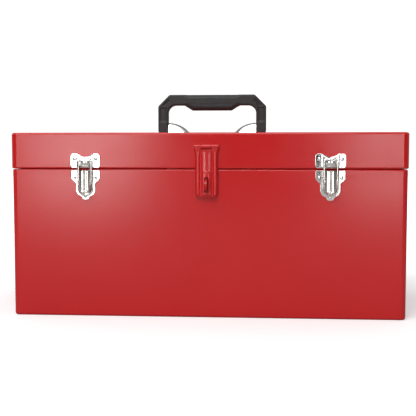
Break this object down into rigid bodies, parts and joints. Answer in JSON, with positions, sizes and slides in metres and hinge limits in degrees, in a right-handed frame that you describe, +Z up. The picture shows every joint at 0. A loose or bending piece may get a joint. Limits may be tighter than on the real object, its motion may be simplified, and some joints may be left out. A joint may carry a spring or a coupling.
{
  "type": "toolbox with tray",
  "caption": "Rectangular sheet-steel hand toolbox with a hinged lid, folding carrying handle, draw latches, a padlock hasp and a lift-out tote tray.",
  "frame": {"origin": "middle of the base's underside, under the middle of the lid", "axes": "+X along the box's length to the right as seen from the front, -Y out of the front with the latches, +Z up"},
  "size_m": [0.508, 0.236, 0.2926],
  "materials": {
    "red_powder_coat": "satin powder coat",
    "nickel_plate": "bright nickel plate",
    "zinc_plate": "bright zinc plate",
    "black_plastic": "fine moulded texture"
  },
  "bodies": {
    "box": {"body_shell": "red_powder_coat", "tray_rest_left": "red_powder_coat", "tray_rest_right": "red_powder_coat", "hinge_leaf_body": "red_powder_coat", "hinge_pin": "zinc_plate", "latch_base_left": "nickel_plate", "latch_base_right": "nickel_plate", "latch_pin_left": "nickel_plate", "latch_pin_right": "nickel_plate", "latch_base_rivets": "nickel_plate", "hasp_staple": "red_powder_coat", "hasp_staple_rivets": "zinc_plate"},
    "lid": {"lid_shell": "red_powder_coat", "hinge_leaf_lid": "red_powder_coat", "latch_catch_left": "nickel_plate", "latch_catch_right": "nickel_plate", "latch_catch_rivets": "nickel_plate", "hasp_hinge_plate": "red_powder_coat", "hasp_hinge_rivets": "zinc_plate", "hasp_pin": "zinc_plate", "handle_bracket_left": "nickel_plate", "handle_bracket_right": "nickel_plate", "handle_pin_left": "nickel_plate", "handle_pin_right": "nickel_plate", "handle_rivets": "nickel_plate", "handle_backing_left": "zinc_plate", "handle_backing_right": "zinc_plate"},
    "left_lever": {"latch_lever_left": "nickel_plate"},
    "right_lever": {"latch_lever_right": "nickel_plate"},
    "left_bail": {"latch_bail_left": "nickel_plate"},
    "right_bail": {"latch_bail_right": "nickel_plate"},
    "hasp": {"hasp_leaf": "red_powder_coat"},
    "handle": {"handle_grip": "black_plastic"},
    "tray": {"tray_pan": "red_powder_coat", "tray_long_divider": "red_powder_coat", "tray_cross_dividers": "red_powder_coat", "tray_lug_left": "zinc_plate", "tray_lug_right": "zinc_plate", "tray_lug_rivets": "zinc_plate"},
    "tray_handle": {"tray_handle_rod": "zinc_plate", "tray_handle_sleeve": "black_plastic"}
  },
  "joints": [
    {"name": "lid_hinge", "type": "hinge", "parent": "box", "child": "lid", "pos_m": [0, 0.106, 0.1912], "axis": [-1, 0, 0], "range_deg": [0, 105]},
    {"name": "handle_fold", "type": "hinge", "parent": "lid", "child": "handle", "pos_m": [0, 0, 0.2458], "axis": [1, 0, 0], "range_deg": [-90, 90]},
    {"name": "hasp_hinge", "type": "hinge", "parent": "lid", "child": "hasp", "pos_m": [0, -0.111, 0.2196], "axis": [-1, 0, 0], "range_deg": [0, 150]},
    {"name": "left_latch_lever", "type": "hinge", "parent": "box", "child": "left_lever", "pos_m": [-0.156, -0.1126, 0.1862], "axis": [-1, 0, 0], "range_deg": [0, 95]},
    {"name": "left_latch_bail", "type": "hinge", "parent": "left_lever", "child": "left_bail", "pos_m": [-0.156, -0.1122, 0.1752], "axis": [-1, 0, 0], "range_deg": [-95, 0]},
    {"name": "right_latch_lever", "type": "hinge", "parent": "box", "child": "right_lever", "pos_m": [0.156, -0.1126, 0.1862], "axis": [-1, 0, 0], "range_deg": [0, 95]},
    {"name": "right_latch_bail", "type": "hinge", "parent": "right_lever", "child": "right_bail", "pos_m": [0.156, -0.1122, 0.1752], "axis": [-1, 0, 0], "range_deg": [-95, 0]},
    {"name": "tray_lift", "type": "slide", "parent": "box", "child": "tray", "axis": [0, 0, 1], "range_m": [0, 0.042]},
    {"name": "tray_handle_fold", "type": "hinge", "parent": "tray", "child": "tray_handle", "pos_m": [0, 0.0016, 0.1872], "axis": [-1, 0, 0], "range_deg": [0, 90]}
  ],
  "couplings": [
    {"joint": "left_latch_bail", "follows": "left_latch_lever", "ratio": -1},
    {"joint": "right_latch_bail", "follows": "right_latch_lever", "ratio": -1}
  ]
}
